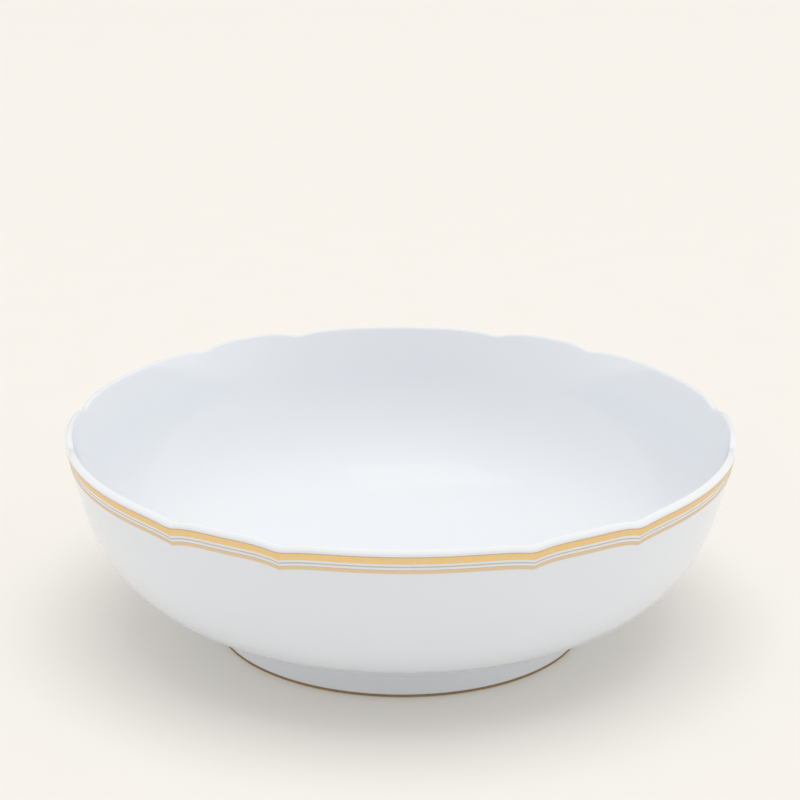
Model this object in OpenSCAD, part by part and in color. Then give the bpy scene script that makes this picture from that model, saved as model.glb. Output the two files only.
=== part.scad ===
// Porcelain serving bowl with a scalloped rim and gilded lines.
//
// The bowl stands on a foot ring. Its outside is smooth and round, and only the rim is
// scalloped: wide and narrow lobes alternate, and a notch dips between each two. Every
// wall is a body of revolution, so each is drawn as a section of [radius, height] points.
// The pieces are the fired layers of the real bowl: body, foot, glaze and gold.
//
// Millimetres. The origin is the centre of the foot's resting plane, with +Z up. A wide
// lobe is centred on the front, which is -Y.

/* [Bowl] */
// Diameter over the rim, on the outside of the glaze
rim_d = 260; // [216:1:312]
// Height of the rim's narrow lobes above the table
bowl_h = 83.4; // [69:0.1:101]
// Thickness of the wall at the lip, with its glaze
wall_t = 3; // [2.4:0.1:3.6]
// Thickness of the wall where it leaves the foot, with its glaze
wall_foot_t = 4; // [3.4:0.1:4.8]
// Lean of the upper wall from the vertical, in degrees
wall_lean = 13.2; // [8:0.1:18]
// Height of the straight stretch of wall under the lip
straight_h = 20; // [16:0.5:26]
// Pull of the outside curve where it leaves the foot, as a share of its run
foot_pull = 0.54; // [0.4:0.01:0.65]
// Pull of the outside curve where it joins the straight wall, as a share of its rise
belly_pull = 0.61; // [0.5:0.01:0.7]
// Height of the inside floor above the table, at its centre
floor_h = 10.8; // [9:0.1:13]
// Pull of the inside floor from its centre, as a share of its run
floor_pull = 0.4; // [0.3:0.01:0.6]

/* [Lip] */
// Reach of the lip's sloping outer face, down from the narrow lobes' crests
lip_slope_h = 1.93; // [1.63:0.1:2.33]
// Distance of the lip's ridge in from the rim's edge, as a share of the wall
ridge_share = 0.68; // [0.5:0.01:0.72]
// Height of the rounding inside the ridge
lip_round_h = 1; // [0.8:0.1:1.2]
// Height the scalloping takes off the ridge, even at the narrow crests
lip_flat = 0.1; // [0.05:0.05:0.2]

/* [Foot] */
// Diameter of the foot ring, on the outside of the glaze
foot_d = 145; // [120:1:174]
// Width of the foot ring, with its glaze
foot_w = 7; // [5.8:0.1:8.4]
// Depth of the recess inside the foot ring
recess_h = 6.3; // [5.3:0.1:7]
// Height at which the outside curve leaves the foot ring
spring_h = 12.4; // [10:0.1:14]
// Slope of the outside curve where it leaves the foot ring, in degrees
spring_slope = 14; // [8:1:22]
// Rounding of the foot ring's bare resting edge
foot_edge = 0.6; // [0.4:0.1:0.9]

/* [Scallops] */
// Number of wide lobes, with one narrow lobe between each two
lobe_pairs = 6; // [4:1:8]
// Angle across one wide lobe, in degrees
wide_lobe = 40.1; // [30:0.1:44]
// Depth of the notches below the narrow lobes
notch_depth = 2.5; // [1:0.05:3.5]
// Drop of the wide lobes' crests below the narrow ones
wide_drop = 0.6; // [0:0.05:0.8]
// Flatness of a wide lobe's crest, the power of its curve
wide_power = 6; // [3:0.5:8]
// Flatness of a narrow lobe's crest, the power of its curve
narrow_power = 3.5; // [2:0.5:6]

/* [Glaze] */
// Thickness of the glaze
glaze_t = 0.25; // [0.2:0.01:0.35]

/* [Gilding] */
// Thickness of the gold
gold_t = 0.1; // [0.08:0.01:0.15]
// Distance of the wide gold band below the scalloped edge
gold_inset = 2.2; // [1.5:0.1:3]
// Width of the wide gold band
wide_band = 2.8; // [1.5:0.1:4]
// Bare gap on each side of the hairline
band_gap = 1; // [0.5:0.05:1.5]
// Width of the hairline
hairline = 0.4; // [0.2:0.05:0.6]
// Width of the lower gold band
lower_band = 1.5; // [0.8:0.1:2]
// Width of the gold line at the base of the foot
foot_line = 1; // [0.6:0.1:1.5]

/* [Hidden] */

PORCELAIN = "white";
GLAZE = "ghostwhite";
GOLD = "goldenrod";
HAIRLINE = "darkgoldenrod";

// Steps along each curve, round each rounded edge, and along each half of a lobe
curve_steps = 20;
edge_steps = 4;
lip_steps = 7;
floor_steps = 10;
lobe_steps = 7;
$fn = 180;

rim_r = rim_d / 2;
foot_r = foot_d / 2;
foot_inner_r = foot_r - foot_w;
joint_h = recess_h + glaze_t;

// Directions across and up the leaning wall, and the step down it
outward = [cos(wall_lean), -sin(wall_lean)];
upward = [sin(wall_lean), cos(wall_lean)];
slope = [tan(wall_lean), 1];
down_wall = straight_h * slope;

// The lip's ridge, and where its rounds leave the outside and the inside of the wall
ridge_z = bowl_h + lip_flat;
ridge_in = ridge_share * wall_t;
ridge = [rim_r - ridge_in, ridge_z];
rim_edge = [rim_r, bowl_h - lip_slope_h];
inner_line = rim_edge - wall_t * outward;
lip_inside = inner_line + (ridge_z - lip_round_h - inner_line[1]) * slope;

// The lip's outer slope and inner round, as curves with four handles
slope_curve = [rim_edge,
               rim_edge + lip_slope_h / 2 * upward,
               ridge + [ridge_in / 2, 0],
               ridge];
round_curve = [ridge,
               ridge - [(ridge[0] - lip_inside[0]) / 2, 0],
               lip_inside + lip_round_h / 2 * upward,
               lip_inside];

// Ends of the outside curve, at the foot and under the straight wall, and its handles
spring = [foot_r, spring_h];
outer_top = rim_edge - down_wall;
outer_run = outer_top[0] - spring[0];
outer_rise = outer_top[1] - spring[1];
outer_curve = [spring,
               spring + foot_pull * outer_run * [1, tan(spring_slope)],
               outer_top - belly_pull * outer_rise * slope,
               outer_top];

// The inside floor, from its middle to where the wall rises over the foot ring
floor_end = spring + wall_foot_t * [-sin(spring_slope), cos(spring_slope)];
floor_curve = [[0, floor_h],
               [floor_pull * floor_end[0], floor_h],
               [floor_end[0] - (floor_end[1] - floor_h) / tan(spring_slope), floor_h],
               floor_end];

// One repeat of the scallops, from the middle of a wide lobe to the middle of the next
pair_angle = 360 / lobe_pairs;
half_wide = wide_lobe / 2;
half_narrow = (pair_angle - wide_lobe) / 2;

// Reach of the notch cutters, clear of the wall on both sides and above
cut_inner_r = rim_r * 0.85;
cut_outer_r = rim_r * 1.1;
cut_top = bowl_h + 5;

// Middle of the wall below the deepest notch, down to which the glaze caps the porcelain
lip_core = rim_edge - wall_t / 2 * outward - notch_depth * slope;

// ---------------------------------------------------------------- sections

// Point and direction on a cubic curve with four handles, at t from 0 to 1
function curve_point(c, t) =
    pow(1 - t, 3) * c[0] + 3 * t * pow(1 - t, 2) * c[1]
    + 3 * t * t * (1 - t) * c[2] + pow(t, 3) * c[3];
function curve_heading(c, t) =
    pow(1 - t, 2) * (c[1] - c[0]) + 2 * t * (1 - t) * (c[2] - c[1])
    + t * t * (c[3] - c[2]);

// Unit vector on the right of a heading: outwards on the outside curve
function right_of(v) = [v[1], -v[0]] / norm(v);

// A curve moved sideways by d, to the right of its heading
function shifted_curve(c, d, steps = curve_steps) =
    [for (i = [0 : steps])
        let (t = i / steps)
        curve_point(c, t) + d * right_of(curve_heading(c, t))];

// Inside of the wall from the foot to under the lip, parallel to the outside but thinning
// upwards from wall_foot_t to wall_t, and a depth below the glaze's surface
function inner_wall(depth) =
    [for (i = [1 : curve_steps])
        let (t = i / curve_steps)
        let (wall = wall_foot_t + (wall_t - wall_foot_t) * t * t * (3 - 2 * t))
        curve_point(outer_curve, t)
        - (wall - depth) * right_of(curve_heading(outer_curve, t))];

// Outside of the bowl from the foot to the lip's ridge, and inside from the ridge down to
// the floor, both a depth below the glaze's surface
function outside(depth) =
    concat(shifted_curve(outer_curve, -depth),
           shifted_curve(slope_curve, -depth, lip_steps));
function inside(depth) =
    concat(shifted_curve(round_curve, -depth, lip_steps),
           reverse(inner_wall(depth)),
           reverse(shifted_curve(floor_curve, depth, floor_steps)));

function reverse(list) = [for (i = [len(list) - 1 : -1 : 0]) list[i]];

// Quarter round of radius r about [x, z], from angle a0 to a0 + 90
function quarter(x, z, r, a0) =
    [for (i = [0 : edge_steps])
        let (a = a0 + 90 * i / edge_steps)
        [x + r * cos(a), z + r * sin(a)]];

module revolve(section) {
    rotate_extrude() polygon(section);
}

// ---------------------------------------------------------------- scallops

// Places along half a lobe, from 0 at its crest to 1 at the notch, closer near the notch
lobe_places = [for (i = [0 : lobe_steps]) sqrt(i / lobe_steps)];

// Drop of the scalloped edge at such a place
function wide_dip(v) = wide_drop + (notch_depth - wide_drop) * pow(v, wide_power);
function narrow_dip(v) = notch_depth * pow(v, narrow_power);

// Half a lobe's edge in the plane across a notch: [distance from the notch, drop]
wide_edge = [for (v = lobe_places) [rim_r * sin((1 - v) * half_wide), wide_dip(v)]];
narrow_edge = [for (v = lobe_places) [rim_r * sin((1 - v) * half_narrow), narrow_dip(v)]];

// Ends of a cutter, past the middle of the lobe on each side so that neighbours overlap
wide_end = cut_outer_r * tan(half_wide);
narrow_end = cut_outer_r * tan(half_narrow);

// Everything above the scalloped edge from one lobe's middle to the next, at the notch
// on the +X side of a wide lobe, seen from outside, when the edge is lowered by a drop
module notch_cutter(drop) {
    level = bowl_h - drop;
    outline = concat([[-wide_end, cut_top], [-wide_end, level - wide_drop]],
                     [for (p = wide_edge) [-p[0], level - p[1]]],
                     [for (i = [lobe_steps - 1 : -1 : 0])
                         [narrow_edge[i][0], level - narrow_edge[i][1]]],
                     [[narrow_end, level], [narrow_end, cut_top]]);
    rotate([90, 0, 0])
        translate([0, 0, cut_inner_r])
            linear_extrude(cut_outer_r - cut_inner_r) polygon(outline);
}

// Everything above the scalloped edge, all round the rim
module above_edge(drop) {
    for (k = [0 : lobe_pairs - 1])
        rotate(k * pair_angle) {
            rotate(half_wide) notch_cutter(drop);
            rotate(-half_wide) mirror([1, 0, 0]) notch_cutter(drop);
        }
}

// What stands below the scalloped edge when that is lowered by a drop
module scalloped(drop) {
    difference() {
        children();
        above_edge(drop);
    }
}

// A gilded line on the outside wall, its top edge a drop below the scalloped edge
module gilded_line(drop, width) {
    wall_low = rim_edge - (drop + width + notch_depth) * slope;
    difference() {
        intersection() {
            revolve(concat([wall_low, wall_low + gold_t * outward],
                           shifted_curve(slope_curve, gold_t, lip_steps),
                           reverse(shifted_curve(slope_curve, 0, lip_steps))));
            above_edge(drop + width);
        }
        above_edge(drop);
    }
}

// ---------------------------------------------------------------- pieces

// The fired wall and base, a glaze's thickness inside the finished surface
module porcelain() {
    scalloped(glaze_t)
        revolve(concat([[0, joint_h], [foot_r - glaze_t, joint_h]],
                       outside(glaze_t),
                       inside(glaze_t)));
}

// Porcelain wall and base
module bowl_body() {
    color(PORCELAIN) porcelain();
}

// Porcelain foot, luted to the flat base, resting on a bare edge
module foot_ring() {
    outer_r = foot_r - glaze_t;
    inner_r = foot_inner_r + glaze_t;
    color(PORCELAIN)
        revolve(concat(quarter(inner_r + foot_edge, foot_edge, foot_edge, 180),
                       quarter(outer_r - foot_edge, foot_edge, foot_edge, 270),
                       [[outer_r, joint_h], [inner_r, joint_h]]));
}

// Glaze on the outside, from the foot's bare edge over the scalloped lip to its ridge
module outer_glaze() {
    color(GLAZE)
        difference() {
            scalloped(0)
                revolve(concat([[foot_r - glaze_t, foot_edge], [foot_r, foot_edge]],
                               outside(0),
                               [lip_core, lip_core + (wall_t / 2 - glaze_t) * outward],
                               reverse(shifted_curve(outer_curve, -glaze_t)),
                               [[foot_r - glaze_t, joint_h]]));
            porcelain();
        }
}

// Glaze on the inside, from the lip's ridge to the middle of the floor
module inner_glaze() {
    color(GLAZE)
        difference() {
            scalloped(0)
                revolve(concat(inside(0),
                               shifted_curve(floor_curve, glaze_t, floor_steps),
                               inner_wall(glaze_t),
                               [lip_core - (wall_t / 2 - glaze_t) * outward, lip_core]));
            porcelain();
        }
}

// Glaze on the underside and on the inner face of the foot
module underside_glaze() {
    color(GLAZE)
        revolve([[0, recess_h],
                 [foot_inner_r, recess_h],
                 [foot_inner_r, foot_edge],
                 [foot_inner_r + glaze_t, foot_edge],
                 [foot_inner_r + glaze_t, joint_h],
                 [0, joint_h]]);
}

// Wide gold band round the rim
module rim_gold_band() {
    color(GOLD) gilded_line(gold_inset, wide_band);
}

// Fine line between the two gold bands
module hairline_band() {
    color(HAIRLINE) gilded_line(gold_inset + wide_band + band_gap, hairline);
}

// Narrow gold band under the hairline
module lower_gold_band() {
    color(GOLD)
        gilded_line(gold_inset + wide_band + 2 * band_gap + hairline, lower_band);
}

// Gold line round the base of the foot
module foot_gold_line() {
    color(GOLD)
        translate([0, 0, foot_edge])
            difference() {
                cylinder(r = foot_r + gold_t, h = foot_line);
                translate([0, 0, -1]) cylinder(r = foot_r, h = foot_line + 2);
            }
}

bowl_body();
foot_ring();
outer_glaze();
inner_glaze();
underside_glaze();
rim_gold_band();
hairline_band();
lower_gold_band();
foot_gold_line();
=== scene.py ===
"""A porcelain serving bowl with a scalloped rim and gilded lines, dressed on its frame.

The bowl's places and overall sizes come from the frame's nodes. What the frame leaves
plain is modelled here: the round lip that follows the scallops, the glaze's rolled edges
and the gold lying on them. Lengths in the dataclasses are metres unless a name says mm.
"""

import logging
import math
from dataclasses import dataclass, field
from enum import Enum
from functools import lru_cache
from typing import Any, Callable, Optional, Sequence

import bmesh
import bpy
from mathutils import Matrix, Vector

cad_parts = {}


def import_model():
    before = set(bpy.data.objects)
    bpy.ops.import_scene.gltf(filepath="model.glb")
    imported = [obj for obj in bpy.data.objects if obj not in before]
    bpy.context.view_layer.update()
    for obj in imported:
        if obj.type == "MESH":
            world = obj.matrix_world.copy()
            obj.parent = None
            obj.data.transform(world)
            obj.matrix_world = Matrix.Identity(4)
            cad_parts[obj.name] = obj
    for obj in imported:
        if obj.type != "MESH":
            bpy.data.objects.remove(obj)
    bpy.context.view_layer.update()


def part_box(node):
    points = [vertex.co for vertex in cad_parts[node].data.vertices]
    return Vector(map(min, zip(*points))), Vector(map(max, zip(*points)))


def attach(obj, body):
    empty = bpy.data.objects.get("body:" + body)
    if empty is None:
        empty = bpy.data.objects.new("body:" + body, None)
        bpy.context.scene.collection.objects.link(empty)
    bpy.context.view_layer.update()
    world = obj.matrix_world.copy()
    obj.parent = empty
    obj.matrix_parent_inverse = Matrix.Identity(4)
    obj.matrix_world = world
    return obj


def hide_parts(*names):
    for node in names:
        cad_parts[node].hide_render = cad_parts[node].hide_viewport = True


LOG = logging.getLogger("bowl")
MM = 0.001
ROOT_BODY = "root"
Point = tuple[float, float]


# ------------------------------------------------------------------ colour and nodes


def linear(hex_colour: str) -> tuple[float, float, float, float]:
    """Turn an sRGB hex colour into the linear colour that shaders take.

    Args:
        hex_colour: Six hex digits, with or without a leading #.

    Returns:
        Linear red, green and blue, and an alpha of 1.
    """
    digits = hex_colour.lstrip("#")
    channels = [int(digits[i : i + 2], 16) / 255 for i in (0, 2, 4)]
    red, green, blue = (
        c / 12.92 if c <= 0.04045 else ((c + 0.055) / 1.055) ** 2.4 for c in channels
    )
    return (red, green, blue, 1.0)


def add_node(
    tree: bpy.types.NodeTree,
    kind: str,
    settings: Optional[dict[str, Any]] = None,
    inputs: Optional[dict[Any, Any]] = None,
) -> bpy.types.Node:
    """Add a node to a tree, with its settings, values and incoming links.

    Args:
        tree: The node tree that gets the node.
        kind: The node's type name, such as ShaderNodeTexNoise.
        settings: Attributes set on the node itself.
        inputs: Input name or number to a value, or to an output socket to link from.

    Returns:
        The new node.
    """
    node = tree.nodes.new(kind)
    for name, value in (settings or {}).items():
        setattr(node, name, value)
    for key, value in (inputs or {}).items():
        if isinstance(value, bpy.types.NodeSocket):
            tree.links.new(value, node.inputs[key])
        else:
            node.inputs[key].default_value = value
    return node


# ------------------------------------------------------------------ finishes


@dataclass(frozen=True)
class Finish:
    """What every finish has: a name, and a Principled shader that it fills in."""

    name: str

    def material(self) -> bpy.types.Material:
        """Make the material, or hand back the one already made under this name.

        Returns:
            The finished material.
        """
        found = bpy.data.materials.get(self.name)
        if found is not None:
            return found
        made = bpy.data.materials.new(self.name)
        made.use_nodes = True
        tree = made.node_tree
        tree.nodes.clear()
        shader = add_node(tree, "ShaderNodeBsdfPrincipled")
        add_node(
            tree, "ShaderNodeOutputMaterial", inputs={"Surface": shader.outputs["BSDF"]}
        )
        self.fill(tree, shader)
        return made

    def fill(self, tree: bpy.types.NodeTree, shader: bpy.types.Node) -> None:
        """Set the shader up; each finish has its own way."""
        raise NotImplementedError


@dataclass(frozen=True)
class FeldspathicGlaze(Finish):
    """Clear feldspathic glaze on white porcelain, dipped and fired glossy.

    The glass coat keeps the clay's faint grey-blue white. It reads as soft broad
    reflections with a very slight ripple, and a tone that drifts a little from place to
    place where the coat lies thicker.
    """

    thin: str = "E7ECF4"
    thick: str = "E5EAF3"
    drift_mm: float = 45.0
    ripple_mm: float = 2.2
    ripple_depth_mm: float = 0.0012
    roughness: float = 0.08
    ior: float = 1.51

    def fill(self, tree: bpy.types.NodeTree, shader: bpy.types.Node) -> None:
        """Tone drifts over a few centimetres, and the gloss ripples over a few mm."""
        place = add_node(tree, "ShaderNodeTexCoord").outputs["Object"]
        drift = add_node(
            tree,
            "ShaderNodeTexNoise",
            inputs={
                "Vector": place,
                "Scale": 1 / (self.drift_mm * MM),
                "Detail": 2.0,
                "Roughness": 0.5,
            },
        )
        tone = add_node(
            tree,
            "ShaderNodeMix",
            {"data_type": "RGBA"},
            {0: drift.outputs["Fac"], 6: linear(self.thin), 7: linear(self.thick)},
        )
        tree.links.new(tone.outputs[2], shader.inputs["Base Color"])
        ripple = add_node(
            tree,
            "ShaderNodeTexNoise",
            inputs={"Vector": place, "Scale": 1 / (self.ripple_mm * MM), "Detail": 1.0},
        )
        bump = add_node(
            tree,
            "ShaderNodeBump",
            inputs={
                "Height": ripple.outputs["Fac"],
                "Distance": self.ripple_depth_mm * MM,
                "Strength": 1.0,
            },
        )
        tree.links.new(bump.outputs["Normal"], shader.inputs["Normal"])
        shader.inputs["Roughness"].default_value = self.roughness
        shader.inputs["IOR"].default_value = self.ior


@dataclass(frozen=True)
class BareBiscuit(Finish):
    """Unglazed hard-paste porcelain, wiped clean of glaze and polished after firing.

    Dense and matt, warmer than the glazed white, with a fine grain.
    """

    light: str = "E4E1DA"
    dark: str = "D6D2C9"
    grain_mm: float = 0.7
    grain_depth_mm: float = 0.02
    roughness: float = 0.62
    ior: float = 1.5

    def fill(self, tree: bpy.types.NodeTree, shader: bpy.types.Node) -> None:
        """A fine grain colours and roughens the bare clay."""
        place = add_node(tree, "ShaderNodeTexCoord").outputs["Object"]
        grain = add_node(
            tree,
            "ShaderNodeTexNoise",
            inputs={"Vector": place, "Scale": 1 / (self.grain_mm * MM), "Detail": 4.0},
        )
        tone = add_node(
            tree,
            "ShaderNodeMix",
            {"data_type": "RGBA"},
            {0: grain.outputs["Fac"], 6: linear(self.light), 7: linear(self.dark)},
        )
        bump = add_node(
            tree,
            "ShaderNodeBump",
            inputs={
                "Height": grain.outputs["Fac"],
                "Distance": self.grain_depth_mm * MM,
                "Strength": 0.5,
            },
        )
        tree.links.new(tone.outputs[2], shader.inputs["Base Color"])
        tree.links.new(bump.outputs["Normal"], shader.inputs["Normal"])
        shader.inputs["Roughness"].default_value = self.roughness
        shader.inputs["IOR"].default_value = self.ior


@dataclass(frozen=True)
class GoldLustre(Finish):
    """Liquid bright gold, banded on with a brush over the glaze and fired at low heat.

    A satin metal film, with painted shade along its top edge where it turns a corner.
    """

    film: str = "F2D298"
    worn: str = "E9C991"
    # Colour of the painted shade along the line's top edge.
    edge: str = "9C7A4A"
    shaded_edge_share: float = 0.16
    edge_shade_strength: float = 0.6
    mottle_mm: float = 1.6
    roughness: float = 0.34

    def fill(self, tree: bpy.types.NodeTree, shader: bpy.types.Node) -> None:
        """The film mottles along its length, and painted shade darkens its top edge."""
        place = add_node(tree, "ShaderNodeTexCoord").outputs["Object"]
        mottle = add_node(
            tree,
            "ShaderNodeTexNoise",
            inputs={"Vector": place, "Scale": 1 / (self.mottle_mm * MM), "Detail": 3.0},
        )
        film = add_node(
            tree,
            "ShaderNodeMix",
            {"data_type": "RGBA"},
            {0: mottle.outputs["Fac"], 6: linear(self.film), 7: linear(self.worn)},
        )
        across = add_node(
            tree, "ShaderNodeAttribute", {"attribute_name": GildedLine.ACROSS}
        )
        # Painted shade: the top edge of the line is darkened towards the edge colour.
        top_edge_shade = add_node(
            tree,
            "ShaderNodeMapRange",
            {"interpolation_type": "SMOOTHSTEP"},
            {
                "Value": across.outputs["Fac"],
                "From Min": 1 - self.shaded_edge_share,
                "From Max": 1.0,
                "To Min": 0.0,
                "To Max": self.edge_shade_strength,
            },
        )
        tone = add_node(
            tree,
            "ShaderNodeMix",
            {"data_type": "RGBA"},
            {0: top_edge_shade.outputs["Result"], 6: film.outputs[2], 7: linear(self.edge)},
        )
        tree.links.new(tone.outputs[2], shader.inputs["Base Color"])
        shader.inputs["Metallic"].default_value = 1.0
        shader.inputs["Roughness"].default_value = self.roughness


@dataclass(frozen=True)
class PaperSweep(Finish):
    """Seamless studio paper, matt and pale, given a painted glow of its own.

    It has a faint cloudiness from its fibres, and a painted glow emitted by the paper itself
    lightens the shadows on it.
    """

    light: str = "D6D6D8"
    dark: str = "D4D4D6"
    painted_glow_colour: str = "FFF5E0"
    painted_glow_strength: float = 0.17
    fibre_mm: float = 30.0
    roughness: float = 0.9

    def fill(self, tree: bpy.types.NodeTree, shader: bpy.types.Node) -> None:
        """A faint cloudiness keeps the paper from being one flat tone."""
        place = add_node(tree, "ShaderNodeTexCoord").outputs["Object"]
        cloud = add_node(
            tree,
            "ShaderNodeTexNoise",
            inputs={"Vector": place, "Scale": 1 / (self.fibre_mm * MM), "Detail": 2.0},
        )
        tone = add_node(
            tree,
            "ShaderNodeMix",
            {"data_type": "RGBA"},
            {0: cloud.outputs["Fac"], 6: linear(self.light), 7: linear(self.dark)},
        )
        tree.links.new(tone.outputs[2], shader.inputs["Base Color"])
        shader.inputs["Roughness"].default_value = self.roughness
        shader.inputs["Specular IOR Level"].default_value = 0.1
        # Painted light: the paper emits a faint glow that lifts the whole floor and lightens
        # its shadows.
        shader.inputs["Emission Color"].default_value = linear(self.painted_glow_colour)
        shader.inputs["Emission Strength"].default_value = self.painted_glow_strength


class Gilding(Enum):
    """The four golds on the bowl; the foot line's is the same gold darkened with painted
    shade.
    """

    WIDE = GoldLustre("bright_gold_lustre")
    NARROW = GoldLustre(
        "thin_gold_lustre", film="E6CFAD", worn="DDC7A6", edge="B39670", edge_shade_strength=0.4
    )
    HAIRLINE = GoldLustre(
        "pale_gold_hairline", film="CFC3AE", worn="C6BAA4", edge="B5A88F"
    )
    # The foot line's gold, darkened with painted shade where the bowl overhangs it.
    FOOT_SHADED = GoldLustre("foot_line_gold_painted_shade", film="B0946C", worn="9C8260", edge="86704F")


# ------------------------------------------------------------------ the bowl's section


@dataclass(frozen=True)
class Curve:
    """A cubic curve in the section plane, with four [radius, height] handles."""

    start: Vector
    start_handle: Vector
    end_handle: Vector
    end: Vector

    def point(self, t: float) -> Vector:
        """The point at t from 0 to 1."""
        a, b, c, d = self.start, self.start_handle, self.end_handle, self.end
        s = 1 - t
        return s**3 * a + 3 * t * s * s * b + 3 * t * t * s * c + t**3 * d

    def side(self, t: float) -> Vector:
        """The unit vector on the right of the curve's heading at t."""
        a, b, c, d = self.start, self.start_handle, self.end_handle, self.end
        s = 1 - t
        heading = s * s * (b - a) + 2 * t * s * (c - b) + t * t * (d - c)
        return Vector((heading.y, -heading.x)).normalized()

    def shifted(self, distance: float, steps: int) -> list[Vector]:
        """Points along the curve, each moved sideways to the right of its heading.

        Args:
            distance: How far each point moves; negative is to the left.
            steps: Number of stretches between points.

        Returns:
            The points, from the curve's start to its end.
        """
        places = (i / steps for i in range(steps + 1))
        return [self.point(t) + distance * self.side(t) for t in places]


@dataclass(frozen=True)
class Scallops:
    """The rim's repeating edge: wide lobes and narrow lobes with a notch between."""

    pairs: int = 6
    wide_angle: float = math.radians(40.1)
    notch_depth: float = 2.5 * MM
    wide_drop: float = 0.6 * MM
    wide_power: float = 6.0
    narrow_power: float = 3.5
    front: float = -math.pi / 2
    wide_share: float = 2 / 3
    soft_reach: float = math.radians(1.3)
    soft_samples: int = 9

    @property
    def repeat(self) -> float:
        """Angle across one wide lobe and one narrow lobe."""
        return 2 * math.pi / self.pairs

    def crisp(self, angle: float) -> float:
        """Drop of a sharply notched edge at an angle, below the narrow crests.

        Args:
            angle: Angle round the bowl from +X, in radians.

        Returns:
            The drop, in metres.
        """
        half_wide = self.wide_angle / 2
        half_narrow = (self.repeat - self.wide_angle) / 2
        place = abs((angle - self.front + self.repeat / 2) % self.repeat - self.repeat / 2)
        if place <= half_wide:
            share = (place / half_wide) ** self.wide_power
            return self.wide_drop + (self.notch_depth - self.wide_drop) * share
        share = (self.repeat / 2 - place) / half_narrow
        return self.notch_depth * share**self.narrow_power

    def soft(self, angle: float) -> float:
        """Drop of the same edge with its notches rounded, as on the lip.

        Args:
            angle: Angle round the bowl from +X, in radians.

        Returns:
            The drop, in metres.
        """
        middle = (self.soft_samples - 1) / 2
        offsets = [(i / middle - 1) * self.soft_reach for i in range(self.soft_samples)]
        return sum(self.crisp(angle + o) for o in offsets) / self.soft_samples

    @lru_cache(maxsize=None)
    def drops(self, step: int, steps: int) -> tuple[float, float, float]:
        """Where one division of the circle stands, and how far its edge drops.

        Args:
            step: Number of the division, counted from the middle of the front lobe.
            steps: Number of divisions in the circle.

        Returns:
            The division's angle on the bowl, and its crisp and its soft drop.
        """
        angle = self.aligned(self.front + 2 * math.pi * step / steps)
        return (angle, self.crisp(angle), self.soft(angle))

    def aligned(self, angle: float) -> float:
        """Turn an evenly spaced angle into one whose steps meet at the notches.

        Args:
            angle: An angle on an evenly divided circle, in radians.

        Returns:
            The angle at which that division stands on the bowl.
        """
        turns = math.floor((angle - self.front) / self.repeat + 0.5)
        place = angle - self.front - turns * self.repeat
        even_half = self.wide_share * self.repeat / 2
        half_wide = self.wide_angle / 2
        if abs(place) <= even_half:
            moved = place * half_wide / even_half
        else:
            rest = (abs(place) - even_half) / (self.repeat / 2 - even_half)
            moved = math.copysign(
                half_wide + rest * (self.repeat / 2 - half_wide), place
            )
        return self.front + turns * self.repeat + moved


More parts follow.
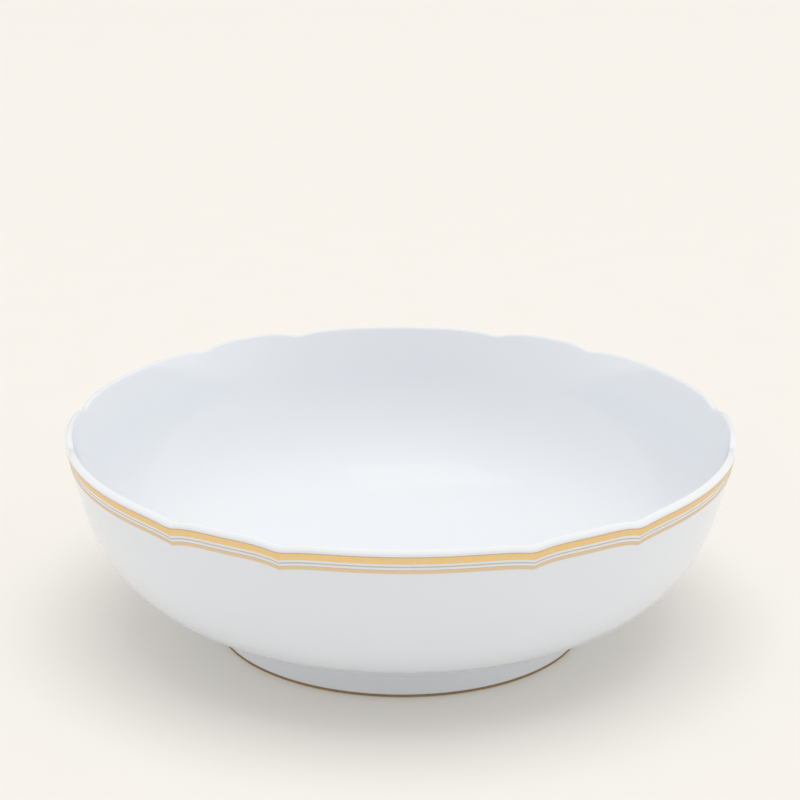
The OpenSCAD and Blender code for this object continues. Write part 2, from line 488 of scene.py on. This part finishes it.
@dataclass
class BowlSection:
    """The bowl's section through its axis, and how the scallops bend it."""

    rim_r: float
    height: float
    foot_r: float
    wall: float = 3.0 * MM
    wall_foot: float = 4.0 * MM
    lean: float = math.radians(13.2)
    straight: float = 20 * MM
    spring_h: float = 12.4 * MM
    spring_slope: float = math.radians(14)
    foot_pull: float = 0.54
    belly_pull: float = 0.61
    floor_h: float = 10.8 * MM
    floor_pull: float = 0.4
    ridge_trim: float = 0.1 * MM
    slope_h: float = 1.93 * MM
    ridge_share: float = 0.68
    round_h: float = 1.0 * MM
    bend_depth: float = 19 * MM
    soft_depth: float = 1.8 * MM
    crisp_depth: float = 5.0 * MM
    curve_steps: int = 28
    straight_steps: int = 10
    lip_steps: int = 10
    floor_steps: int = 12
    scallops: Scallops = field(default_factory=Scallops)

    def __post_init__(self) -> None:
        """Work out the section's four curves from the sizes."""
        self.outward = Vector((math.cos(self.lean), -math.sin(self.lean)))
        self.upward = Vector((math.sin(self.lean), math.cos(self.lean)))
        self.slide = Vector((math.tan(self.lean), 1.0))
        ridge_in = self.ridge_share * self.wall
        ridge = Vector((self.rim_r - ridge_in, self.height + self.ridge_trim))
        self.rim_edge = Vector((self.rim_r, self.height - self.slope_h))
        inner_line = self.rim_edge - self.wall * self.outward
        climb = ridge.y - self.round_h - inner_line.y
        lip_inside = inner_line + climb * self.slide
        self.slope = Curve(
            self.rim_edge,
            self.rim_edge + self.slope_h / 2 * self.upward,
            ridge + Vector((ridge_in / 2, 0)),
            ridge,
        )
        self.round = Curve(
            ridge,
            ridge - Vector(((ridge.x - lip_inside.x) / 2, 0)),
            lip_inside + self.round_h / 2 * self.upward,
            lip_inside,
        )
        down = self.straight * self.slide
        top = self.rim_edge - down
        spring = Vector((self.foot_r, self.spring_h))
        run, rise = top - spring
        self.outer = Curve(
            spring,
            spring + self.foot_pull * run * Vector((1, math.tan(self.spring_slope))),
            top - self.belly_pull * rise * self.slide,
            top,
        )
        tilt = self.spring_slope
        end = spring + self.wall_foot * Vector((-math.sin(tilt), math.cos(tilt)))
        self.floor = Curve(
            Vector((0, self.floor_h)),
            Vector((self.floor_pull * end.x, self.floor_h)),
            Vector((end.x - (end.y - self.floor_h) / math.tan(tilt), self.floor_h)),
            end,
        )

    def inner_wall(self, depth: float, steps: int) -> list[Vector]:
        """Inside of the wall, which runs beside the outside and thins towards the lip.

        Args:
            depth: Distance below the finished surface.
            steps: Number of stretches between points.

        Returns:
            The points from above the foot to under the lip, without the first.
        """
        points = []
        for i in range(1, steps + 1):
            t = i / steps
            wall = self.wall_foot + (self.wall - self.wall_foot) * t * t * (3 - 2 * t)
            points.append(self.outer.point(t) - (wall - depth) * self.outer.side(t))
        return points

    def rows_between(self, low: Vector, high: Vector, steps: int) -> list[Vector]:
        """Points on the straight wall, closer together towards the lip.

        Args:
            low: The stretch's lower end.
            high: Its upper end.
            steps: Number of stretches between points.

        Returns:
            The points from low to high, without either end.
        """
        shares = ((i / steps) ** 1.5 for i in range(steps - 1, 0, -1))
        return [high.lerp(low, share) for share in shares]

    def surface(self, depth: float, coarse: int = 1) -> list[Vector]:
        """The whole open section, outside then inside, a depth below the glaze.

        Args:
            depth: Distance below the finished surface.
            coarse: How many times fewer points than usual, for hidden surfaces.

        Returns:
            Points from the foot's shoulder over the lip to the middle of the floor.
        """
        curved, straight, lip, flat = (
            steps // coarse
            for steps in (
                self.curve_steps, self.straight_steps, self.lip_steps, self.floor_steps
            )
        )
        outer = self.outer.shifted(-depth, curved)
        slope = self.slope.shifted(-depth, lip)
        ridge = self.round.shifted(-depth, lip)[1:]
        inner = self.floor.shifted(depth, flat) + self.inner_wall(depth, curved)
        return (
            outer
            + self.rows_between(outer[-1], slope[0], straight)
            + slope
            + ridge
            + self.rows_between(inner[-1], ridge[-1], straight)[::-1]
            + inner[::-1]
        )

    def outside_at(self, drop: float, proud: float) -> Vector:
        """The point on the outside at a drop below the narrow crests.

        Args:
            drop: Height below the narrow crests.
            proud: Distance out from the glaze.

        Returns:
            The point in the section.
        """
        below = self.rim_edge.y - (self.height - drop)
        if below >= 0:
            return self.rim_edge - below * self.slide + proud * self.outward
        rows = self.slope.shifted(proud, self.lip_steps * 4)
        return min(rows, key=lambda row: abs(row.y - self.height + drop))

    def bend(self, place: Vector, crisp: float, soft: float) -> Vector:
        """Move a point of the round bowl to where the scallops put it.

        The point slides down the leaning wall, so it stays on its cone. Points at the lip
        follow the rounded edge, points lower down the crisp one, and below bend_depth
        nothing moves.

        Args:
            place: The point on the round bowl.
            crisp: Drop of the sharply notched edge at the point's angle.
            soft: Drop of the rounded edge there.

        Returns:
            The point on the scalloped bowl.
        """
        drop = self.height - place.z
        if drop >= self.bend_depth:
            return place
        crispness = (drop - self.soft_depth) / (self.crisp_depth - self.soft_depth)
        crispness = min(max(crispness, 0.0), 1.0)
        dip = self.ridge_trim + soft + (crisp - soft) * crispness
        start = self.bend_depth / 2
        if drop > start:
            fade = (drop - start) / (self.bend_depth - start)
            dip *= 1 - fade * fade * (3 - 2 * fade)
        radius = math.hypot(place.x, place.y)
        scale = (radius - dip * math.tan(self.lean)) / radius
        return Vector((place.x * scale, place.y * scale, place.z - dip))


# ------------------------------------------------------------------ turning meshes


@dataclass
class Wheel:
    """Throws a section round the axis, as on a potter's wheel."""

    section: BowlSection
    divisions: int = 540
    sharp_angle: float = math.radians(40)

    def throw(
        self,
        name: str,
        outline: Sequence[Vector],
        closed: bool = True,
        scalloped: bool = True,
        across: Optional[Callable[[Vector], float]] = None,
        attribute: str = "",
    ) -> bpy.types.Object:
        """Spin an outline into a solid, line it up with the notches and bend it.

        Args:
            name: Name of the new object.
            outline: Points of the section, in order.
            closed: Whether the last point joins the first.
            scalloped: Whether the scallops bend the piece.
            across: Gives a value at each point of the round shape, before bending.
            attribute: Name of the attribute that holds that value.

        Returns:
            The new object, in the scene.
        """
        bm = bmesh.new()
        verts = [bm.verts.new((p.x, 0.0, p.y)) for p in outline]
        pairs = list(zip(verts, verts[1:]))
        if closed:
            pairs.append((verts[-1], verts[0]))
        edges = [bm.edges.new(pair) for pair in pairs]
        bmesh.ops.rotate(
            bm, verts=verts, cent=(0, 0, 0), matrix=self._start_turn()
        )
        bmesh.ops.spin(
            bm,
            geom=verts + edges,
            cent=(0, 0, 0),
            axis=(0, 0, 1),
            angle=2 * math.pi,
            steps=self.divisions,
            use_merge=True,
            use_duplicate=False,
        )
        bmesh.ops.remove_doubles(bm, verts=bm.verts, dist=1e-6)
        bmesh.ops.recalc_face_normals(bm, faces=bm.faces)
        self._finish_places(bm, scalloped, across, attribute)
        mesh = bpy.data.meshes.new(name)
        bm.to_mesh(mesh)
        bm.free()
        mesh.shade_smooth()
        mesh.set_sharp_from_angle(angle=self.sharp_angle)
        made = bpy.data.objects.new(name, mesh)
        bpy.context.scene.collection.objects.link(made)
        return made

    def _start_turn(self) -> Any:
        """The turn that sets the first section on the middle of the front lobe."""
        return Matrix.Rotation(self.section.scallops.front, 3, "Z")

    def _finish_places(
        self,
        bm: bmesh.types.BMesh,
        scalloped: bool,
        across: Optional[Callable[[Vector], float]],
        attribute: str,
    ) -> None:
        """Line the divisions up with the notches, note the values, then bend."""
        layer = bm.verts.layers.float.new(attribute) if across else None
        for vert in bm.verts:
            if across:
                vert[layer] = across(vert.co)
            if not scalloped:
                continue
            radius = math.hypot(vert.co.x, vert.co.y)
            if radius < 1e-6:
                continue
            turned = math.atan2(vert.co.y, vert.co.x) - self.section.scallops.front
            step = round(turned / (2 * math.pi) * self.divisions) % self.divisions
            angle, crisp, soft = self.section.scallops.drops(step, self.divisions)
            vert.co.x = radius * math.cos(angle)
            vert.co.y = radius * math.sin(angle)
            vert.co = self.section.bend(vert.co, crisp, soft)


def settle(piece: bpy.types.Object, finish: Finish, slot: str, *nodes: str) -> None:
    """Give a finished piece its material, and tie it to the frame.

    Args:
        piece: The finished object.
        finish: What it is made of.
        slot: The record's material slot; not used.
        nodes: CAD nodes it stands for.
    """
    piece.data.materials.clear()
    piece.data.materials.append(finish.material())
    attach(piece, ROOT_BODY)
    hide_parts(*nodes)
    LOG.info(
        "%s: %d vertices, %d faces",
        piece.name,
        len(piece.data.vertices),
        len(piece.data.polygons),
    )


# ------------------------------------------------------------------ the pieces


@dataclass(frozen=True)
class LayerSizes:
    """Thickness of the glaze, and the gilding's places down the outside of the rim."""

    glaze: float = 0.25 * MM
    inset: float = 2.2 * MM
    wide_band: float = 2.8 * MM
    gap: float = 1.0 * MM
    hairline: float = 0.4 * MM
    narrow_band: float = 1.5 * MM


@dataclass
class PorcelainBody:
    """The thrown wall and base, inside its glaze."""

    section: BowlSection
    wheel: Wheel
    glaze: float
    joint_h: float

    def build(self) -> bpy.types.Object:
        """Throw the wall, closed underneath by its flat base."""
        flank = Vector((self.section.foot_r - self.glaze, self.joint_h))
        middle = Vector((0.0, self.joint_h))
        outline = [middle, flank] + self.section.surface(self.glaze, coarse=2)
        return self.wheel.throw("porcelain_wall", outline, closed=False)

    def dress(self) -> bpy.types.Object:
        """Build the wall and leave it as bare fired clay."""
        piece = self.build()
        settle(piece, BareBiscuit("bare_porcelain"), "porcelain", "bowl_body")
        return piece


@dataclass
class FootRing:
    """The foot, luted to the flat base, and bare where it rests."""

    section: BowlSection
    wheel: Wheel
    inner_r: float
    outer_r: float
    height: float
    edge: float = 0.6 * MM
    edge_steps: int = 6

    def build(self) -> bpy.types.Object:
        """Throw the ring and round its two resting edges with a bevel."""
        corners = [
            Vector((self.inner_r, 0.0)),
            Vector((self.outer_r, 0.0)),
            Vector((self.outer_r, self.height)),
            Vector((self.inner_r, self.height)),
        ]
        piece = self.wheel.throw("porcelain_foot", corners, scalloped=False)
        bm = bmesh.new()
        bm.from_mesh(piece.data)
        resting = [
            e
            for e in bm.edges
            if all(abs(v.co.z) < 1e-6 for v in e.verts)
            and abs(e.verts[0].co.xy.length - e.verts[1].co.xy.length) < 1e-6
        ]
        bmesh.ops.bevel(
            bm,
            geom=resting,
            offset=self.edge,
            offset_type="OFFSET",
            affect="EDGES",
            segments=self.edge_steps,
            profile=0.5,
            material=-1,
        )
        bm.to_mesh(piece.data)
        bm.free()
        piece.data.shade_smooth()
        piece.data.set_sharp_from_angle(angle=self.wheel.sharp_angle)
        return piece

    def dress(self) -> bpy.types.Object:
        """Build the ring and leave it as bare fired clay."""
        piece = self.build()
        settle(piece, BareBiscuit("bare_porcelain"), "porcelain", "foot_ring")
        return piece


@dataclass
class GlazeCoat:
    """The glaze over everything but the resting edge, and the one under the base."""

    section: BowlSection
    wheel: Wheel
    thickness: float
    foot_edge: float
    joint_h: float
    recess_r: float
    recess_h: float
    roll_steps: int = 4
    corner_r: float = 1.6 * MM
    corner_steps: int = 6

    def build_main(self) -> bpy.types.Object:
        """Throw the coat that runs up the foot, over the lip and down to the floor."""
        inner_r = self.section.foot_r - self.thickness
        outline = (
            self._rolled_edge(self.section.foot_r, self.foot_edge, -1)
            + self._pooled_shoulder()
            + self.section.surface(0.0)[1:]
            + self.section.surface(self.thickness, coarse=2)[::-1]
            + [Vector((inner_r, self.joint_h))]
        )
        return self.wheel.throw("glaze_coat", outline, closed=False)

    def _rolled_edge(self, radius: float, level: float, side: int) -> list[Vector]:
        """Quarter round where a coat ends above the bare edge.

        Args:
            radius: Radius of the coat's outer surface.
            level: Height of the coat's lower end.
            side: -1 where the clay lies inside that radius, 1 where it lies outside.

        Returns:
            Points from the clay out to the coat's surface.
        """
        centre = Vector((radius + side * self.thickness, level + self.thickness))
        turns = (math.pi / 2 * i / self.roll_steps for i in range(self.roll_steps + 1))
        return [
            centre
            + self.thickness * Vector((-side * math.sin(a), -math.cos(a)))
            for a in turns
        ]

    def _pooled_shoulder(self) -> list[Vector]:
        """Round the corner where the outside springs from the foot, as glaze pools.

        Returns:
            Points from the foot's side to the underside of the belly.
        """
        corner = self.section.outer.point(0.0)
        slope = self.section.spring_slope
        turn = math.pi / 2 - slope
        reach = self.corner_r * math.tan(turn / 2)
        centre = corner + Vector((self.corner_r, -reach))
        turns = (turn * i / self.corner_steps for i in range(self.corner_steps + 1))
        return [
            centre + self.corner_r * Vector((-math.cos(a), math.sin(a))) for a in turns
        ]

    def build_underside(self) -> bpy.types.Object:
        """Throw the coat inside the foot ring, with a pooled corner."""
        r, h, t = self.recess_r, self.recess_h, self.thickness
        radius = self.corner_r
        centre = Vector((r - radius, h - radius))
        turns = (
            math.pi / 2 * (1 - i / self.corner_steps)
            for i in range(self.corner_steps + 1)
        )
        pool = [centre + radius * Vector((math.cos(a), math.sin(a))) for a in turns]
        outline = (
            [Vector((0.0, h))]
            + pool
            + self._rolled_edge(r, self.foot_edge, 1)[::-1]
            + [Vector((r + t, self.joint_h)), Vector((0.0, self.joint_h))]
        )
        return self.wheel.throw("underside_glaze_coat", outline, closed=False, scalloped=False)

    def dress(self) -> list[bpy.types.Object]:
        """Build both coats in clear glossy glaze."""
        finish = FeldspathicGlaze("clear_porcelain_glaze")
        main, under = self.build_main(), self.build_underside()
        settle(main, finish, "glaze", "outer_glaze", "inner_glaze")
        settle(under, finish, "glaze", "underside_glaze")
        return [main, under]


@dataclass
class GildedLine:
    """A brushed line of gold, a film proud of the glaze."""

    ACROSS = "across"

    section: BowlSection
    wheel: Wheel
    name: str
    node: str
    slot: str
    gilding: Gilding
    top_drop: float
    width: float
    film: float = 0.04 * MM
    sunk: float = 0.05 * MM
    rows: int = 6

    def build(self) -> bpy.types.Object:
        """Throw the line's thin section and bend it along the scallops."""
        drops = [self.top_drop + self.width * i / self.rows for i in range(self.rows + 1)]
        front = [self.section.outside_at(d, self.film) for d in drops]
        back = [self.section.outside_at(d, -self.sunk) for d in drops]
        return self.wheel.throw(
            self.name,
            front + back[::-1],
            across=self._share,
            attribute=self.ACROSS,
        )

    def _share(self, place: Vector) -> float:
        """How far up the line a point lies, from 0 at its bottom to 1 at its top."""
        drop = self.section.height - place.z
        return min(max(1 - (drop - self.top_drop) / self.width, 0.0), 1.0)

    def dress(self) -> bpy.types.Object:
        """Build the line in its gold."""
        piece = self.build()
        settle(piece, self.gilding.value, self.slot, self.node)
        return piece


@dataclass
class FootLine:
    """The gold line round the base of the foot."""

    section: BowlSection
    wheel: Wheel
    bottom: float
    top: float
    film: float = 0.05 * MM
    sunk: float = 0.05 * MM

    def build(self) -> bpy.types.Object:
        """Throw the line's thin section on the foot's upright side."""
        outer = self.section.foot_r + self.film
        inner = self.section.foot_r - self.sunk
        corners = [
            Vector((inner, self.bottom)),
            Vector((outer, self.bottom)),
            Vector((outer, (self.bottom + self.top) / 2)),
            Vector((outer, self.top)),
            Vector((inner, self.top)),
        ]
        return self.wheel.throw(
            "foot_line_gold",
            corners,
            scalloped=False,
            across=self._share,
            attribute=GildedLine.ACROSS,
        )

    def _share(self, place: Vector) -> float:
        """How far up the line a point lies, from 0 to 1."""
        return min(max((place.z - self.bottom) / (self.top - self.bottom), 0.0), 1.0)

    def dress(self) -> bpy.types.Object:
        """Build the line in gold darkened with painted shade."""
        piece = self.build()
        # The foot line takes gold darkened with painted shade.
        settle(piece, Gilding.FOOT_SHADED.value, "foot_gold", "foot_gold_line")
        return piece


# ------------------------------------------------------------------ the studio


@dataclass
class Softbox:
    """One flat studio light, aimed at a point."""

    name: str
    place: Vector
    target: Vector
    size: Point
    power: float
    colour: str
    shiny: bool = True

    def build(self) -> bpy.types.Object:
        """Hang the light and turn it to its target."""
        lamp = bpy.data.lights.new(self.name, "AREA")
        lamp.shape = "RECTANGLE"
        lamp.size, lamp.size_y = self.size
        lamp.energy = self.power
        lamp.color = linear(self.colour)[:3]
        made = bpy.data.objects.new(self.name, lamp)
        made.location = self.place
        made.visible_glossy = self.shiny
        aim = self.target - self.place
        made.rotation_euler = aim.to_track_quat("-Z", "Y").to_euler()
        bpy.context.scene.collection.objects.link(made)
        return made


@dataclass
class Studio:
    """The paper sweep, the lights, the air and the camera."""

    floor_size: float = 16.0
    warm_white: str = "FFFCF5"
    zenith_strength: float = 0.75
    side_gain: float = 1.2
    front_cut: float = 0.5
    horizon_falloff: float = 4.0
    bounce_strength: float = 1.14
    bounce_spread: float = math.radians(45)
    highlight_power: float = 0.5
    fill_power: float = 12.0
    eye: Vector = field(default_factory=lambda: Vector((-0.00052, -0.89927, 0.40044)))
    pitch: float = 0.3298
    roll: float = 0.006
    turn: float = math.radians(-1.0)
    lens_mm: float = 110.25
    sensor_mm: float = 36.0

    def build_floor(self) -> bpy.types.Object:
        """Lay the paper on the plane the foot rests on."""
        bm = bmesh.new()
        bmesh.ops.create_grid(
            bm, x_segments=1, y_segments=1, size=self.floor_size / 2
        )
        mesh = bpy.data.meshes.new("paper_sweep")
        bm.to_mesh(mesh)
        bm.free()
        mesh.materials.append(PaperSweep("studio_paper").material())
        floor = bpy.data.objects.new("paper_sweep", mesh)
        bpy.context.scene.collection.objects.link(floor)
        return floor

    def build_lights(self) -> None:
        """Hang the softboxes and light the air."""
        Softbox(
            "overhead_softbox",
            Vector((-0.08, 0.31, 1.273)),
            Vector((0, 0, 0)),
            (0.53, 0.54),
            self.highlight_power,
            self.warm_white,
        ).build()
        Softbox(
            "right_fill",
            Vector((4.4, -1.2, 2.4)),
            Vector((0, 0, 0)),
            (5.0, 3.0),
            self.fill_power,
            self.warm_white,
            shiny=False,
        ).build()
        ceiling = bpy.data.lights.new("ceiling_bounce", "SUN")
        ceiling.energy = self.bounce_strength
        ceiling.angle = self.bounce_spread
        ceiling.color = linear(self.warm_white)[:3]
        hung = bpy.data.objects.new("ceiling_bounce", ceiling)
        hung.rotation_euler = (math.radians(8), math.radians(2.5), 0)
        hung.visible_glossy = False
        bpy.context.scene.collection.objects.link(hung)
        self.build_air()

    def build_air(self) -> None:
        """Light the air all round: brighter low at the sides, darker low in front."""
        world = bpy.data.worlds.new("studio_air")
        world.use_nodes = True
        tree = world.node_tree
        place = add_node(tree, "ShaderNodeTexCoord").outputs["Generated"]
        parts = add_node(tree, "ShaderNodeSeparateXYZ", inputs={0: place}).outputs
        depth = add_node(
            tree,
            "ShaderNodeMath",
            {"operation": "SUBTRACT", "use_clamp": True},
            {0: 1.0, 1: parts["Z"]},
        )
        lowness = add_node(
            tree,
            "ShaderNodeMath",
            {"operation": "POWER"},
            {0: depth.outputs[0], 1: self.horizon_falloff},
        )
        across = add_node(
            tree, "ShaderNodeMath", {"operation": "MULTIPLY"}, {0: parts["X"], 1: parts["X"]}
        )
        along = add_node(
            tree, "ShaderNodeMath", {"operation": "MULTIPLY"}, {0: parts["Y"], 1: parts["Y"]}
        )
        sideness = add_node(
            tree,
            "ShaderNodeMath",
            {"operation": "MULTIPLY_ADD"},
            {0: along.outputs[0], 1: -self.front_cut, 2: across.outputs[0]},
        )
        share = add_node(
            tree,
            "ShaderNodeMath",
            {"operation": "MULTIPLY"},
            {0: lowness.outputs[0], 1: sideness.outputs[0]},
        )
        strength = add_node(
            tree,
            "ShaderNodeMath",
            {"operation": "MULTIPLY_ADD"},
            {0: share.outputs[0], 1: self.side_gain, 2: self.zenith_strength},
        )
        background = tree.nodes["Background"]
        background.inputs["Color"].default_value = linear(self.warm_white)
        tree.links.new(strength.outputs[0], background.inputs["Strength"])
        bpy.context.scene.world = world

    def build_camera(self) -> bpy.types.Object:
        """Stand the camera in front, looking down on the bowl.

        Returns:
            The camera.
        """
        data = bpy.data.cameras.new("camera")
        data.lens = self.lens_mm
        data.sensor_width = self.sensor_mm
        data.clip_start = 0.01
        data.clip_end = 50
        camera = bpy.data.objects.new("camera", data)
        look = Matrix.Rotation(math.pi / 2 - self.pitch, 4, "X")
        roll = Matrix.Rotation(self.roll, 4, "Z")
        swing = Matrix.Rotation(self.turn, 4, "Z")
        camera.matrix_world = swing @ Matrix.Translation(self.eye) @ look @ roll
        bpy.context.scene.collection.objects.link(camera)
        bpy.context.scene.camera = camera
        return camera

    def build(self) -> None:
        """Set the whole studio up, with plain display of its tones."""
        self.build_floor()
        self.build_lights()
        self.build_camera()
        bpy.context.scene.view_settings.view_transform = "Standard"
        bpy.context.scene.view_settings.look = "None"


# ------------------------------------------------------------------ assembly


def write_sizes() -> None:
    """Bring the scene's view layer up to date.
    """
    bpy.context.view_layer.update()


def main() -> None:
    """Build the bowl's pieces in order, then the studio round them."""
    logging.basicConfig(level=logging.INFO, format="%(name)s: %(message)s")
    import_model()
    rim_low, rim_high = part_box("outer_glaze")
    under_low, under_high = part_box("underside_glaze")
    ring_low, ring_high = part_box("foot_ring")
    line_low, line_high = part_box("foot_gold_line")
    sizes = LayerSizes()
    glaze = sizes.glaze
    recess_r = (under_high.x - under_low.x) / 2 - glaze
    section = BowlSection(
        rim_r=(rim_high.y - rim_low.y) / 2,
        height=rim_high.z,
        foot_r=ring_high.x + glaze,
    )
    wheel = Wheel(section)
    PorcelainBody(section, wheel, glaze, ring_high.z).dress()
    FootRing(section, wheel, recess_r + glaze, ring_high.x, ring_high.z).dress()
    GlazeCoat(
        section, wheel, glaze, under_low.z, ring_high.z, recess_r, under_high.z - glaze
    ).dress()
    drop = sizes.inset
    GildedLine(
        section, wheel, "rim_band_gold", "rim_gold_band", "gold", Gilding.WIDE, drop,
        sizes.wide_band,
    ).dress()
    drop += sizes.wide_band + sizes.gap
    GildedLine(
        section, wheel, "hairline_gold", "hairline_band", "hairline_gold",
        Gilding.HAIRLINE, drop, sizes.hairline, rows=2,
    ).dress()
    drop += sizes.hairline + sizes.gap
    GildedLine(
        section, wheel, "lower_band_gold", "lower_gold_band", "gold", Gilding.NARROW, drop,
        sizes.narrow_band,
    ).dress()
    FootLine(section, wheel, line_low.z, line_high.z).dress()
    Studio().build()
    write_sizes()


if __name__ == "__main__":
    main()
